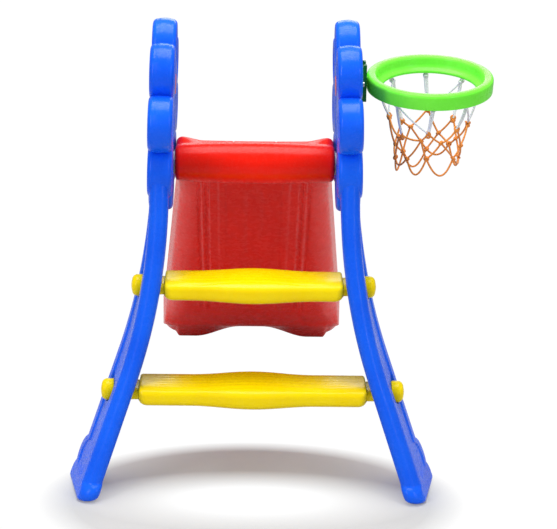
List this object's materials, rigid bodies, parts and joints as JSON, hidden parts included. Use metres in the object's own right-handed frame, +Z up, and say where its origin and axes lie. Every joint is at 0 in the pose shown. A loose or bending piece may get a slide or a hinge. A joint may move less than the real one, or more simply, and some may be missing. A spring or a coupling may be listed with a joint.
{
  "type": "toddler slide",
  "caption": "Folding toddler slide: flower-topped side panels, ladder steps, a chute hinged at its top roll, and a lift-off hoop with a net.",
  "frame": {"origin": "on the floor, under the middle of the whole model's box with the hoop on", "axes": "+X to the right seen from behind the steps, towards the hoop; +Y from the steps down the chute; +Z up"},
  "size_m": [0.6477, 0.8664, 0.7005],
  "materials": {
    "blue_plastic": "satin",
    "yellow_plastic": "satin",
    "red_plastic": "satin",
    "green_plastic": "satin",
    "dark_green_plastic": "satin",
    "white_nylon": "satin",
    "steel": "satin",
    "badge_film": "satin",
    "white_cord": "matte",
    "orange_cord": "matte"
  },
  "bodies": {
    "ladder": {"side_panel_left": "blue_plastic", "side_panel_right": "blue_plastic", "step_upper": "yellow_plastic", "step_lower": "yellow_plastic", "step_knobs_upper": "yellow_plastic", "step_knobs_lower": "yellow_plastic", "pivot_tube": "steel", "pivot_bush_left": "white_nylon", "pivot_bush_right": "white_nylon", "pivot_cap_left": "blue_plastic", "pivot_cap_right": "blue_plastic", "badge_left": "badge_film", "badge_right": "badge_film", "hoop_bracket": "dark_green_plastic", "bracket_screws": "steel"},
    "chute": {"chute": "red_plastic"},
    "hoop": {"hoop_ring": "green_plastic", "net_clips": "white_nylon", "net_upper": "white_cord", "net_lower": "orange_cord"}
  },
  "joints": [
    {"name": "chute_fold", "type": "hinge", "parent": "ladder", "child": "chute", "pos_m": [-0.03961, -0.23322, 0.48225], "axis": [1, 0, 0], "range_deg": [-60, 0]},
    {"name": "hoop_lift", "type": "slide", "parent": "ladder", "child": "hoop", "axis": [0, 0, 1], "range_m": [0, 0.05]}
  ]
}
